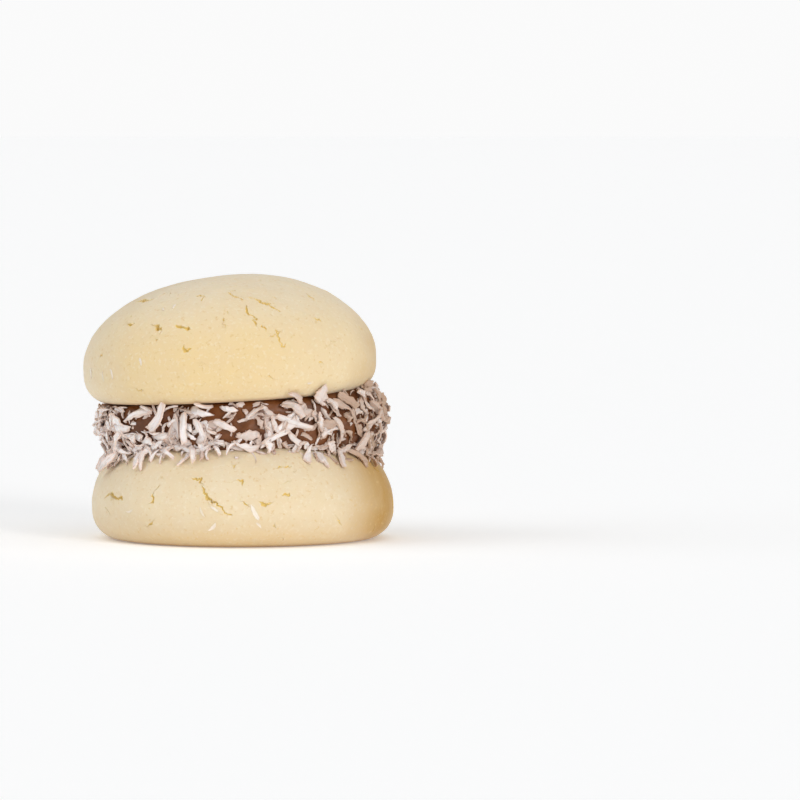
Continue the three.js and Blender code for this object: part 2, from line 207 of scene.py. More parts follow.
def hairlines(seed):
    """Fine short cracks, spread evenly over the whole dome."""
    return [
        aimed(
            360 * ((i * EVEN_ROUND) % 1),
            mix(-8, 62, (i * EVEN_UP + 0.5) % 1),
            mix(-80, 80, draw(seed + i, 6)),
            mix(0.8, 4.5, draw(seed + i, 7)),
            mix(0.1, 0.22, draw(seed + i, 8)),
        )
        for i in range(HAIRLINES)
    ]


def co_of(bm):
    return np.array([v.co for v in bm.verts])


def halve_edges(bm, chosen):
    bmesh.ops.subdivide_edges(bm, edges=chosen, cuts=1, use_grid_fill=True)
    bmesh.ops.triangulate(bm, faces=[f for f in bm.faces if len(f.verts) > 3])
    for v in bm.verts:
        v.co.normalize()


def value_noise(points, grain, seed):
    """Smooth noise from -1 to 1 at each point, with lumps of this size."""
    shift = Vector((seed * 17.3, seed * 5.1, seed * 9.7))
    return np.array([noise.noise(Vector(p) / grain + shift) for p in points])


def torn_open(cracks, fine_cracks, size, phase, seed):
    """All cracks of a biscuit: points, directions across, half widths, and a tree to search them."""
    samples = []
    for i, crack in enumerate(list(cracks) + cracks_behind(seed)):
        samples += crack_course(crack, size, phase, seed + 50 + i)
    for i, crack in enumerate(list(fine_cracks) + hairlines(seed)):
        samples += crack_course(crack, size, phase, seed + 200 + i)
    places, across, halves = (np.array(column) for column in zip(*samples))
    tree = kdtree.KDTree(len(places))
    for i, place in enumerate(places):
        tree.insert(place, i)
    tree.balance()
    return places, across, halves, tree


def nearest(tree, points):
    """The nearest crack sample to each point, and how far off it is."""
    found = [tree.find(p) for p in points]
    return np.array([f[1] for f in found]), np.array([f[2] for f in found])


def ball_of_dough(size, phase, halves, tree):
    """A ball of radius 1, open where the underside will be, with finer faces along the cracks."""
    bm = bmesh.new()
    bmesh.ops.create_icosphere(bm, subdivisions=6, radius=1)
    drop, reach = BELLY_HEIGHT * size, (FOOT_RADIUS - UNDERSIDE_EDGE) * size
    bmesh.ops.bisect_plane(
        bm,
        geom=bm.verts[:] + bm.edges[:] + bm.faces[:],
        dist=1e-5,
        plane_co=(0, 0, -drop / math.hypot(drop, reach)),
        plane_no=(0, 0, 1),
        clear_inner=True,
    )
    bmesh.ops.triangulate(bm, faces=[f for f in bm.faces if len(f.verts) > 3])
    halve_edges(bm, bm.edges[:])
    for near in FINER_NEAR_CRACKS:
        middles = np.array([(e.verts[0].co + e.verts[1].co) / 2 for e in bm.edges])
        points = crust_points(unit(middles), size, phase)
        index, gap = nearest(tree, points)
        close = gap < halves[index] + near * (FINER_MARGIN + halves[index])
        if near == FINER_NEAR_CRACKS[0]:
            close |= points[:, 2] < -FINER_BELOW * size
        halve_edges(bm, [e for e, keep in zip(bm.edges[:], close) if keep])
    return bm


def close_underside(bm, size):
    """Fills the opening with the flat underside, and stands the biscuit on it."""
    rim = [e for e in bm.edges if e.is_boundary]
    for v in {v for e in rim for v in e.verts}:
        v.co.z = -BELLY_HEIGHT * size
    underside = bmesh.ops.contextual_create(bm, geom=rim)["faces"]
    bmesh.ops.inset_region(bm, faces=underside, thickness=UNDERSIDE_RIM, use_even_offset=True)
    bmesh.ops.triangulate(bm, faces=[f for f in bm.faces if len(f.verts) > 4])
    bmesh.ops.recalc_face_normals(bm, faces=bm.faces[:])
    bmesh.ops.translate(bm, verts=bm.verts[:], vec=(0, 0, BELLY_HEIGHT * size))


def bake(points, moved, size, gold, painted_shade_and_browned_foot, seed):
    """How golden the crust is, with painted light, and how brown, with painted shade, from 0 to 1 at
    each point.
    """
    height = moved[:, 2] + BELLY_HEIGHT * size
    # painted light: the crust is painted less golden, so paler, towards its left edge and a little
    # towards its right
    painted_light_at_sides = np.interp(moved[:, 0], (-24, -16, 5, 15), (0, 1, 1, 0.6))
    golden_and_painted_light = np.interp(height, *gold) * painted_light_at_sides + 0.16 * value_noise(points, 7, seed + 4)
    # painted shade: its right side is painted brown, fading towards the back; its foot really browned
    start, width, above, below, foot_share = painted_shade_and_browned_foot
    late = above * np.maximum(0, moved[:, 2]) - below * np.minimum(0, moved[:, 2])
    inward = (moved[:, 0] / size + late - start) / width
    patchy = np.interp(moved[:, 1], (-10, 2), (0.08, 0.4))
    inward += patchy * value_noise(points, 7, seed + 6) + 0.03 * value_noise(points, 2.5, seed + 7)
    paler_behind = np.interp(moved[:, 1] + 4 * value_noise(points, 8, seed + 8), (-6, 13), (1, 0.2))
    foot = foot_share * np.clip(1 - height / BROWNED_FOOT, 0, 1)
    return golden_and_painted_light, np.maximum(paler_behind * np.clip(inward, 0, 1) ** 1.6, foot)


def smooth_mesh(bm, name):
    """The finished bmesh as mesh data, shaded smooth."""
    for f in bm.faces:
        f.smooth = True
    mesh = bpy.data.meshes.new(name)
    bm.to_mesh(mesh)
    bm.free()
    return mesh


def baked_biscuit(name, size, phase, cracks, fine_cracks, gold, painted_shade_and_browned_foot, seed):
    """One biscuit, its underside's middle at the origin, in mm, and layers of bake, painted light and
    shade.
    """
    places, across, halves, tree = torn_open(cracks, fine_cracks, size, phase, seed)
    bm = ball_of_dough(size, phase, halves, tree)
    points = crust_points(unit(co_of(bm)), size, phase)
    index, gap = nearest(tree, points)
    half = halves[index]
    offset = gap / half
    groove = -CRACK_DEPTH * half * np.maximum(0, 1 - offset**2) ** 0.6
    side = np.sign(np.einsum("ij,ij->i", points - places[index], across[index]))
    lip = (0.03 + 0.09 * half) * np.exp(-(((gap - 1.25 * half) / LIP_WIDTH) ** 2))
    lip *= np.where(side > 0, 1, LIP_OTHER_SIDE)
    lip[gap < half] = 0
    relief = sum(
        high * value_noise(points, grain, seed + i) for i, (high, grain) in enumerate(CRUST_RELIEF)
    )
    off_the_tray = np.clip(points[:, 2] + BELLY_HEIGHT * size, 0, 1)
    moved = points + crust_normals(points, size) * ((relief + lip + groove) * off_the_tray)[:, None]
    moved[:, 2] = np.maximum(moved[:, 2], -BELLY_HEIGHT * size)
    for v, place in zip(bm.verts, moved):
        v.co = place
    close_underside(bm, size)
    mesh = smooth_mesh(bm, name)
    wide = np.clip(half / 0.14, 0.4, 1)
    faint = np.clip(0.8 + 1.1 * value_noise(points, 1.5, seed + 5), 0.3, 1)
    torn = np.clip((1.25 - offset) / 0.6, 0, 1) * np.maximum(wide**2, wide * faint)
    golden_and_painted_light, painted_shade_and_foot_brown = bake(points, moved, size, gold, painted_shade_and_browned_foot, seed)
    height = moved[:, 2] + BELLY_HEIGHT * size
    for layer, values in (("torn", torn), ("height", height), ("golden_and_painted_light", golden_and_painted_light), ("painted_shade_and_browned_foot", painted_shade_and_foot_brown)):
        whole = np.zeros(len(mesh.vertices))
        whole[: len(values)] = values
        mesh.attributes.new(layer, "FLOAT", "POINT").data.foreach_set("value", whole)
    return mesh


def placed(mesh, turn=0.0, seat=(0, 0, 0)):
    """The finished piece, with its place in the mesh: turned about Y and seated, mm to metres."""
    co = np.empty(len(mesh.vertices) * 3)
    mesh.vertices.foreach_get("co", co)
    co = co.reshape(-1, 3)
    x = co[:, 0] * math.cos(turn) + co[:, 2] * math.sin(turn)
    z = -co[:, 0] * math.sin(turn) + co[:, 2] * math.cos(turn)
    co = np.column_stack([x, co[:, 1], z]) + np.array(seat) - STACK_CENTRE
    mesh.vertices.foreach_set("co", (co * MM).ravel())
    mesh.update()
    obj = bpy.data.objects.new(mesh.name, mesh)
    bpy.context.collection.objects.link(obj)
    return obj


def socket(node, name):
    return next(s for s in node.inputs if s.name == name and s.enabled)


def add_node(mat, kind, settings=(), **inputs):
    """A node with its settings, its plain input values, and links from other nodes' outputs."""
    node = mat.node_tree.nodes.new(kind)
    for name, value in dict(settings).items():
        setattr(node, name, value)
    for name, value in inputs.items():
        into = socket(node, name.replace("_", " "))
        if isinstance(value, bpy.types.NodeSocket):
            mat.node_tree.links.new(value, into)
        else:
            into.default_value = value
    return node


def colour_mix(mat, share, low, high):
    """The colour from low to high by this share; each may be a value or a node's output."""
    node = add_node(mat, "ShaderNodeMix", {"data_type": "RGBA"})
    for into, value in zip((node.inputs[0], node.inputs[6], node.inputs[7]), (share, low, high)):
        if isinstance(value, bpy.types.NodeSocket):
            mat.node_tree.links.new(value, into)
        else:
            into.default_value = value
    return node.outputs[2]


def ramp(mat, value, stops):
    """The value taken smoothly from the first two stops to the last two."""
    node = mat.node_tree.nodes.new("ShaderNodeMapRange")
    node.clamp = True
    node.interpolation_type = "SMOOTHSTEP"
    for into, stop in zip(node.inputs[1:5], stops):
        into.default_value = stop
    mat.node_tree.links.new(value, node.inputs[0])
    return node.outputs[0]


def noise_node(mat, scale, detail=3.0, rough=0.55):
    place = add_node(mat, "ShaderNodeTexCoord").outputs["Object"]
    node = add_node(mat, "ShaderNodeTexNoise", Vector=place, Scale=scale, Detail=detail)
    node.inputs["Roughness"].default_value = rough
    return node.outputs[0]


def attribute(mat, name, output="Fac"):
    return add_node(mat, "ShaderNodeAttribute", {"attribute_name": name}).outputs[output]


def baked_crust():
    mat = bpy.data.materials.new("baked_crust")
    mat.use_nodes = True
    shader = mat.node_tree.nodes["Principled BSDF"]
    pale, gold = (0.79, 0.66, 0.455, 1), (0.8, 0.61, 0.32, 1)
    painted_shade_and_foot_brown, tray_brown, crumb = (0.475, 0.245, 0.018, 1), (0.5, 0.27, 0.08, 1), (0.82, 0.61, 0.16, 1)
    # golden from the bake, made paler by painted light on its sides and on the upper biscuit's top
    tone = colour_mix(mat, attribute(mat, "golden_and_painted_light"), pale, gold)
    cloud = ramp(mat, noise_node(mat, 220), (0.35, 0.65, 0, 0.3))
    tone = colour_mix(mat, cloud, tone, (0.76, 0.585, 0.35, 1))
    flour = ramp(mat, noise_node(mat, 1700), (0.54, 0.68, 0, 0.28))
    tone = colour_mix(mat, flour, tone, (0.88, 0.8, 0.66, 1))
    # painted shade: brown on the right side; and the browned foot
    tone = colour_mix(mat, attribute(mat, "painted_shade_and_browned_foot"), tone, painted_shade_and_foot_brown)
    pores = ramp(mat, noise_node(mat, 1500), (0.42, 0.28, 0, 0.5))
    tone = colour_mix(mat, pores, tone, (0.68, 0.46, 0.18, 1))
    tray = ramp(mat, attribute(mat, "height"), (0.7, 0.05, 0, 0.8))
    tone = colour_mix(mat, tray, tone, tray_brown)
    tone = colour_mix(mat, ramp(mat, attribute(mat, "torn"), (0, 1, 0, 0.8)), tone, crumb)
    mat.node_tree.links.new(tone, shader.inputs["Base Color"])
    sand = add_node(mat, "ShaderNodeBump", Height=noise_node(mat, 1400, 4, 0.7), Strength=0.35)
    sand.inputs["Distance"].default_value = 0.00012
    soft = add_node(mat, "ShaderNodeBump", Height=noise_node(mat, 420), Strength=0.4)
    soft.inputs["Distance"].default_value = 0.0003
    mat.node_tree.links.new(sand.outputs[0], soft.inputs["Normal"])
    mat.node_tree.links.new(soft.outputs[0], shader.inputs["Normal"])
    shader.inputs["Roughness"].default_value = 0.8
    shader.inputs["Specular IOR Level"].default_value = 0.3
    shader.inputs["Sheen Weight"].default_value = 0.25
    shader.inputs["Sheen Roughness"].default_value = 0.6
    shader.inputs["Subsurface Weight"].default_value = 0.12
    shader.inputs["Subsurface Radius"].default_value = (1.0, 0.6, 0.3)
    shader.inputs["Subsurface Scale"].default_value = 0.0012
    return mat


crust = baked_crust()
lower = placed(
    baked_biscuit(
        "lower_crust", 1, LOWER_PHASE, LOWER_CRACKS, LOWER_HAIRLINES, LOWER_GOLD, LOWER_PAINTED_SHADE_AND_FOOT, 100
    )
)
lower.data.materials.append(crust)
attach(lower, "root")
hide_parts("lower_biscuit")

# ---------------------------------------------------------------------------------------------
# Upper biscuit: the same dough and the same bake, a little smaller. It was pressed onto the
# filling a few millimetres to the left and is tilted, its right side lifted.
# ---------------------------------------------------------------------------------------------
UPPER_SIZE = 0.975
UPPER_SEAT = (-1.6, 0.4, 23.5)
UPPER_TILT = math.radians(3)
UPPER_PHASE = 5.25
UPPER_CRACKS = (
    (-34, 19, -27, 16, 0.55),
    (-21, 18, -14, 16, 0.7),
    (-17, 37, -11, 36, 0.4),
    (3, 39, 9, 34, 0.5),
    (15, 34, 28, 23, 0.5),
    (12, 28, 14, 16, 0.5),
)
UPPER_HAIRLINES = (
    (-16, 9.5, -13, 8, 0.5),
    (-34, 40, -32, 39, 0.3),
    (-11, 36, -12, 32, 0.24),
    (-27, 16, -28, 11, 0.22),
    (9, 34, 10, 32, 0.45),
    (0, 21, 1, 16, 0.35),
    (17, 16, 18, 13, 0.35),
    (22, 8, 25, 8, 0.3),
    (56, 34, 54, 27, 0.35),
    (39, 22, 47, 16, 0.25),
    (-53, 21, -45, 20, 0.3),
)
# how golden it is at each height, from 0 to 1: partly its bake, and partly painted light that makes its
# top paler
UPPER_GOLD_AND_PAINTED_LIGHT = (0, 8, 11.6, 14, 19.7), (1, 1, 0.75, 0.45, 0)
# painted shade on its right side, as on the lower biscuit, and no browned foot
UPPER_PAINTED_SHADE = 20.2, 7.0, 0, 0.45, 0

upper = placed(
    baked_biscuit(
        "upper_crust", UPPER_SIZE, UPPER_PHASE, UPPER_CRACKS, UPPER_HAIRLINES, UPPER_GOLD_AND_PAINTED_LIGHT,
        UPPER_PAINTED_SHADE, 400
    ),
    -UPPER_TILT,
    UPPER_SEAT,
)
upper.data.materials.append(crust)
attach(upper, "root")
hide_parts("upper_biscuit")

# ---------------------------------------------------------------------------------------------
# Filling: dulce de leche, thick enough to stand between the biscuits. It was spread on the lower
# biscuit's dome and pressed out to the rim by the upper one, and its wall is sticky and glossy.
# ---------------------------------------------------------------------------------------------
WALL_RADIUS = 19.3
WALL_OVAL = 1.9
WALL_BULGE = 2.0
WALL_WAVE = 0.25
# heights of its wall's lower end and of its upper end at the right and at the left
WALL_FOOT, WALL_HEAD, WALL_HEAD_LEFT = 14.0, 26.0, 24.0
FILLING_CLEAR = 0.05
# rows of faces from the middle out and up the wall, and steps round it
ROWS_IN, ROWS_UP, WALL_STEPS = 8, 46, 420
# its upper edge is drawn in this far, from this share of its height up
PULLED_IN, PULLED_ABOVE = 0.5, 0.9


def wall_radius(azimuth, z):
    height = np.clip((z - WALL_FOOT) / (WALL_HEAD - WALL_FOOT), 0, 1)
    wave = np.sin(3 * azimuth + 1) + np.sin(7 * azimuth + 2.3)
    bulge = WALL_BULGE * np.sin(np.pi * height)
    return WALL_RADIUS - WALL_OVAL * np.cos(2 * azimuth) + WALL_WAVE * wave + bulge


def dome_height(x, y):
    """Height of the lower biscuit's dome over these points."""
    rise = DOME_RISE * np.sqrt(np.maximum(0.001, 1 - (x * x + y * y) / BISCUIT_RADIUS**2))
    for _ in range(4):
        arm = np.column_stack([x, y, rise])
        far = np.linalg.norm(arm, axis=1)
        swell = waves(unit(arm), LOWER_PHASE)
        back = 1 - swell / far
        share = 1 - ((x * back) ** 2 + (y * back) ** 2) / BISCUIT_RADIUS**2
        rise = DOME_RISE * np.sqrt(np.maximum(0.001, share)) / back
    return BELLY_HEIGHT + rise


def upper_height(x, y):
    """Height of the upper biscuit's underside over these points, and of its lower curve beyond."""
    x, y = x - UPPER_SEAT[0], y - UPPER_SEAT[1]
    size = UPPER_SIZE
    share = np.clip((np.hypot(x, y) + 0.1) / (BISCUIT_RADIUS * size), 0, 0.9999)
    drop = UNDER_REACH * size * (1 - share**UNDER_POWER) ** (1 / UNDER_POWER)
    own = np.maximum(0, BELLY_HEIGHT * size - drop)
    return UPPER_SEAT[2] + x * math.tan(UPPER_TILT) + own


def pressed_filling():
    """A disc of radius 1 and height 1, pressed out between the dome and the upper underside."""
    bm = bmesh.new()
    profile = [bm.verts.new((0, 0, 0))]
    profile += [bm.verts.new((i / ROWS_IN, 0, 0)) for i in range(1, ROWS_IN)]
    profile += [bm.verts.new((1, 0, i / ROWS_UP)) for i in range(ROWS_UP + 1)]
    profile += [bm.verts.new((i / ROWS_IN, 0, 1)) for i in range(ROWS_IN - 1, 0, -1)]
    profile += [bm.verts.new((0, 0, 1))]
    for a, b in zip(profile, profile[1:]):
        bm.edges.new((a, b))
    bmesh.ops.spin(
        bm,
        geom=bm.verts[:] + bm.edges[:],
        cent=(0, 0, 0),
        axis=(0, 0, 1),
        angle=2 * math.pi,
        steps=WALL_STEPS,
        use_merge=True,
        use_duplicate=False,
    )
    bmesh.ops.remove_doubles(bm, verts=bm.verts[:], dist=1e-5)
    co = co_of(bm)
    reach, level = np.hypot(co[:, 0], co[:, 1]), co[:, 2]
    azimuth = np.arctan2(co[:, 0], -co[:, 1])
    east, south = np.sin(azimuth), -np.cos(azimuth)
    z = mix(WALL_FOOT, WALL_HEAD_LEFT, level)
    for _ in range(6):
        radius = reach * wall_radius(azimuth, z)
        x, y = radius * east, radius * south
        low = dome_height(x, y) + FILLING_CLEAR
        high = np.minimum(upper_height(x, y), WALL_HEAD) - FILLING_CLEAR
        z = mix(low, high, level)
    co = np.column_stack([x, y, z])
    out = np.column_stack([east, south, np.zeros(len(x))])
    wall = reach > 0.999
    free = wall * np.sin(np.pi * np.clip(level, 0, 1)) ** 0.5
    smear = 0.3 * value_noise(co * [1, 1, 1.6], 3.2, 31) + 0.14 * value_noise(co, 1.2, 32)
    smear += 0.05 * value_noise(co, 0.5, 33)
    pulled = PULLED_IN * np.clip((level - PULLED_ABOVE) / (1 - PULLED_ABOVE), 0, 1) ** 2 * wall
    co += out * (smear * free - pulled)[:, None]
    for v, place in zip(bm.verts, co):
        v.co = place
    bmesh.ops.recalc_face_normals(bm, faces=bm.faces[:])
    return smooth_mesh(bm, "dulce_de_leche")


def milk_caramel():
    mat = bpy.data.materials.new("milk_caramel")
    mat.use_nodes = True
    shader = mat.node_tree.nodes["Principled BSDF"]
    dark, light = (0.1, 0.03, 0.007, 1), (0.2, 0.066, 0.017, 1)
    tone = colour_mix(mat, ramp(mat, noise_node(mat, 260), (0.35, 0.65, 0, 1)), dark, light)
    mat.node_tree.links.new(tone, shader.inputs["Base Color"])
    bump = add_node(mat, "ShaderNodeBump", Height=noise_node(mat, 700), Strength=0.5)
    bump.inputs["Distance"].default_value = 0.0002
    mat.node_tree.links.new(bump.outputs[0], shader.inputs["Normal"])
    rough = ramp(mat, noise_node(mat, 500), (0.3, 0.7, 0.34, 0.5))
    mat.node_tree.links.new(rough, shader.inputs["Roughness"])
    shader.inputs["Specular IOR Level"].default_value = 0.35
    shader.inputs["Subsurface Weight"].default_value = 0.1
    shader.inputs["Subsurface Radius"].default_value = (1.0, 0.45, 0.2)
    shader.inputs["Subsurface Scale"].default_value = 0.001
    return mat


filling = placed(pressed_filling())
filling.data.materials.append(milk_caramel())
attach(filling, "root")
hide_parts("filling")

# ---------------------------------------------------------------------------------------------
# Coconut: dried shredded coconut, rolled onto the sticky wall. Its shreds are thin flat straps,
# leaves and torn chips of every size, stiff, that lie on the wall and on one another, and some
# reach out over the shoulder of the lower biscuit or up over the rim of the upper one.
# ---------------------------------------------------------------------------------------------
SHREDS_ROLLED_ON = 640
LARGEST_SHREDS = 130
SMALL_SHREDS = 900
AT_THE_FOOT = 130
SHRED_LENGTH, SHRED_WIDTH = (1.6, 5.2), (0.5, 1.5)
SMALL_LENGTH, SMALL_WIDTH = (0.6, 2.6), (0.22, 0.6)
SHRED_TAPER, WEDGE_TAPER = (0.6, 1.4), 1.9
SHRED_THICKNESS = 0.28
SHRED_KINDS = "strap", "strap", "leaf", "chip", "chip", "wedge"
# how far in the edges are torn, as a share of the half width
TORN_EDGE = {"strap": 0.15, "leaf": 0.2, "chip": 0.34, "wedge": 0.22}
CRUMPLED = 0.17
SHARP_EDGE = math.radians(18)
# how far the shreds stand out from the bed they lie on
BIG_SHRED_PROUD = 0.7
SLIVER_PROUD = 0.2, 0.8
LEAST_PROUD = 0.12
LARGEST_STANDING, OTHERS_STANDING, SMALL_STANDING = 1, 0.65, 0.15
# the bed starts this far below the filling and ends this far short of its upper edge; its slope is
# taken over a step to both sides, and counts as no steeper than this
BED_BELOW, BED_SHORT = 1.8, 0.4
BED_STEP, BED_STEEPEST = 0.7, 1.2
UPPER_FOOT = 23.0
# azimuth, to both sides, up to which it lies thinner, and the share missing there
FRONT = 62
THINNED, OTHERS_THINNED = 0.6, 0.7
BARE_OF_SMALL = 0.45  # share of the small shreds missing on the bare patches
SLIVER_SEED, SCATTER_SEED = 500, 1000
# Patches at the front that stayed bare: azimuth and height of the middle, half width and height.
BARE_PATCHES = (
    (-67, 17.8, 4, 1.2), (-53, 22.3, 7, 1.1), (-44, 19, 4, 0.8), (-33, 21.8, 4, 1.9),
    (-12, 21.4, 6, 1.7), (-11, 16.7, 3, 1.1), (-6, 23.6, 8, 0.6), (-2, 20.9, 5, 1.3),
    (20, 22.7, 4, 1.4), (38, 17.1, 4, 1.5), (50, 24, 4, 0.9),
)
# The big shreds that lie on top there: azimuth and height of both ends, and the width at each.
BIG_SHREDS = {
    "strap": (
        (-66, 20, -54, 19, 1.3, 1.3), (-50, 15.5, -46, 12.3, 1, 1.2), (-38, 15.4, -29, 14, 0.6, 0.7),
        (-31, 24, -43, 19, 1.4, 1.4), (-26, 21.7, -26, 17, 1.3, 1.1), (-23, 16, -19, 13.5, 1, 0.9),
        (-19, 16, -16, 14, 0.9, 0.9), (-11, 20.5, -1, 19, 1, 1.1), (11, 16.7, 24, 19, 1, 0.8),
        (18, 21.2, 34, 19.2, 1.2, 1.2), (21, 23, 30, 20.8, 1.2, 1.2), (22, 25.5, 30, 22.8, 0.8, 1.1),
        (24, 18.6, 31, 16.7, 0.9, 1), (35, 21.8, 39, 18.8, 1.1, 1), (44, 17.2, 47, 15.3, 1.3, 1.3),
        (45, 20.8, 49, 17, 0.9, 0.9), (50, 24.4, 60, 22.2, 1.3, 1.3), (56, 21.6, 61, 18, 1.1, 0.8),
    ),
    "leaf": (
        (-67, 16.7, -70, 14.7, 2.2, 2.2), (-31, 20.8, -33, 17, 1.2, 1.6), (-9, 23.3, 0, 22, 0.8, 1),
        (-1, 17.3, -5, 14.4, 0.7, 0.7), (11, 23.7, 18, 20.8, 1.4, 1.2), (16, 21.3, 19, 18.5, 0.7, 1),
        (29, 23.2, 31, 21.3, 1.3, 0.9), (41, 23.6, 46, 21.8, 1.5, 1.1),
    ),
    "chip": (
        (-60, 17.8, -47, 17.7, 1.3, 1.7), (-56, 20.2, -42, 21.8, 1.2, 1.7), (-48, 17, -41, 16.5, 2, 1.9),
        (-29, 16.3, -14, 16.3, 1.2, 1.3), (-20, 20.7, -16, 17.2, 1.6, 1), (-2, 17.5, 10, 15.8, 0.5, 1.8),
        (-1, 18.2, 10, 18.4, 1.5, 1.7), (28, 22.2, 35, 22, 1.2, 1.3), (50, 15.6, 56, 16.4, 1.8, 1.4),
    ),
    "wedge": (
        (-24, 22.5, -11, 21.3, 2.2, 0.3), (14, 17.3, 14, 14.7, 1.7, 0.3), (38, 15.4, 40, 12.5, 2.8, 0.4),
        (38, 26.7, 38, 22.9, 0.3, 3.8), (53, 15.1, 48, 12.3, 4.1, 0.7),
    ),
}
# Thin slivers that cross the gaps between them, in the same order.
SLIVERS = (
    (-66, 22.4, -58, 21.6, 0.9, 0.6), (-46, 22.9, -42, 21.6, 0.5, 0.6), (-36, 21.6, -27, 23.1, 0.5, 0.4),
    (-34, 19.4, -29, 20.6, 0.4, 0.5), (-18, 23.8, -12, 23.3, 0.5, 0.4), (-15, 19.3, -10, 18.5, 0.4, 0.6),
    (-12, 16.4, -8, 14.7, 0.5, 0.7), (-7, 20.9, -3, 22.1, 0.3, 0.5), (0, 20.3, 9, 21, 0.5, 0.3),
    (4, 20.8, 12, 22.8, 0.7, 0.8), (13, 19.7, 17, 17.7, 0.6, 0.4), (31, 20.5, 36, 21.4, 0.4, 0.5),
    (37, 24.2, 41, 22.6, 0.7, 0.5), (40, 19.6, 44, 18.2, 0.6, 0.4),
)


def upper_radius(azimuth, z):
    """How far out the upper biscuit's side stands at this height, and 0 below it."""
    east, south = math.sin(azimuth), -math.cos(azimuth)
    own = z - UPPER_SEAT[2] - (UPPER_FOOT * east - UPPER_SEAT[0]) * math.tan(UPPER_TILT)
    if own <= 0:
        return 0.0
    below = BELLY_HEIGHT * UPPER_SIZE - own
    reach, power = (UNDER_REACH, UNDER_POWER) if below > 0 else (DOME_RISE, DOME_POWER)
    share = max(0.0, 1 - (abs(below) / (reach * UPPER_SIZE)) ** power)
    radius = BISCUIT_RADIUS * UPPER_SIZE * share ** (1 / power)
    ahead = east * UPPER_SEAT[0] + south * UPPER_SEAT[1]
    off = UPPER_SEAT[0] ** 2 + UPPER_SEAT[1] ** 2 - radius**2
    return ahead + math.sqrt(max(0.0, ahead * ahead - off))


def bed_radius(azimuth, z):
    """The coconut's bed: the wall, the lower biscuit's shoulder or the upper biscuit's side."""
    rise = max(0.0, min(1.0, (z - BELLY_HEIGHT) / DOME_RISE))
    shoulder = BISCUIT_RADIUS * math.sqrt(1 - rise**2) + 0.1
    return max(float(wall_radius(azimuth, z)), shoulder, upper_radius(azimuth, z))


def bed_at(azimuth, z, proud):
    """A point this far proud of the bed, and the outward direction there."""
    radius = bed_radius(azimuth, z)
    slope = (bed_radius(azimuth, z - BED_STEP) - bed_radius(azimuth, z + BED_STEP)) / (2 * BED_STEP)
    east, south = math.sin(azimuth), -math.cos(azimuth)
    out = unit(np.array([east, south, max(-BED_STEEPEST, min(BED_STEEPEST, slope))]))
    return np.array([radius * east, radius * south, z]) + out * proud, out


def bed_heights(azimuth):
    """The lowest and the highest level that shreds lie at."""
    wall = float(wall_radius(azimuth, WALL_FOOT))
    foot = BELLY_HEIGHT + DOME_RISE * math.sqrt(1 - (wall / BISCUIT_RADIUS) ** 2)
    wall = float(wall_radius(azimuth, WALL_HEAD_LEFT))
    spot = wall * np.array([[math.sin(azimuth)], [-math.cos(azimuth)]])
    return foot - BED_BELOW, min(WALL_HEAD, float(upper_height(*spot)[0])) - BED_SHORT


def shred_edge(kind, t):
    """Half width of a shred at t, from -1 at one end to 1 at the other, as a share of its own."""
    if kind == "leaf":
        return max(0.12, (1 - abs(t) ** 2.4) ** 0.7)
    if kind == "chip":
        return 1 - 0.6 * abs(t) ** 1.8
    return 1 - 0.3 * abs(t) ** 5


def bare(azimuth, z):
    return any(
        math.hypot((azimuth - middle) / wide, (z - height) / high) < 1
        for middle, height, wide, high in BARE_PATCHES
    )


def add_shred(bm, kind, start, end, widths, lean, seed, dull, warp=1.0):
    """A shred from one end to the other, each a point and the outward direction there."""
    (low, low_out), (high, high_out) = start, end
    length = float(np.linalg.norm(high - low))
    along = (high - low) / length
    across = unit(np.cross(low_out + high_out, along))
    face = unit(np.cross(along, across) + across * lean * (2 * draw(seed, 1) - 1))
    across = np.cross(face, along)
    bend = length * mix(-0.15, 0.15, draw(seed, 2))
    curl = warp * length * mix(-0.06, 0.22, draw(seed, 3))
    twist = warp * mix(-0.6, 0.6, draw(seed, 4))
    fold = warp * mix(-0.8, 0.5, draw(seed, 7))
    slants = mix(-0.8, 0.8, draw(seed, 5)), mix(-0.8, 0.8, draw(seed, 6))
    crumpled = warp * CRUMPLED * min(0.9, sum(widths) / 2)
    made = bmesh.ops.create_grid(bm, x_segments=7, y_segments=2, size=1)["verts"]
    for v in made:
        t, u = v.co.x, v.co.y
        share = (t + 1) / 2
        half = mix(*widths, share) / 2 * shred_edge(kind, t)
        step = round(3.5 * (t + 1)) + 8 * round(u + 1)
        jag = TORN_EDGE[kind] * (2 * draw(seed, 10 + step) - 1)
        reach = length / 2 * t + mix(*slants, share) * u * half * abs(t) ** 3
        reach += jag * 0.6 * half * (1 + abs(t))
        off = u * half * (1 + 1.4 * jag * abs(u))
        crown = 1 - t * t
        y = off * math.cos(twist * t) + bend * crown
        z = curl * crown + off * math.sin(twist * t) + fold * half * abs(u)
        z += crumpled * (2 * draw(seed, 50 + step) - 1)
        v.co = Vector((low + high) / 2 + along * reach + across * y + face * z)
        v[bm.verts.layers.float_vector["fibre"]] = reach, off, seed % 97
        v[bm.verts.layers.float["shade"]] = mix(dull, 0.8, draw(seed, 30) ** 2)
        v[bm.verts.layers.float["rim"]] = max(abs(u), abs(t) ** 4)


def thickened(bm, thickness):
    """Gives every sheet a second face, this far below it, and closes the edge all round."""
    bm.normal_update()
    below = {v: v.normal * -thickness for v in bm.verts}
    sheet = bmesh.ops.extrude_face_region(bm, geom=bm.faces[:], use_keep_orig=True)["geom"]
    for v, down in zip([v for v in sheet if isinstance(v, bmesh.types.BMVert)], below.values()):
        v.co += down
    bmesh.ops.recalc_face_normals(bm, faces=bm.faces[:])


def new_shreds():
    bm = bmesh.new()
    bm.verts.layers.float_vector.new("fibre")
    bm.verts.layers.float.new("shade")
    bm.verts.layers.float.new("rim")
    return bm


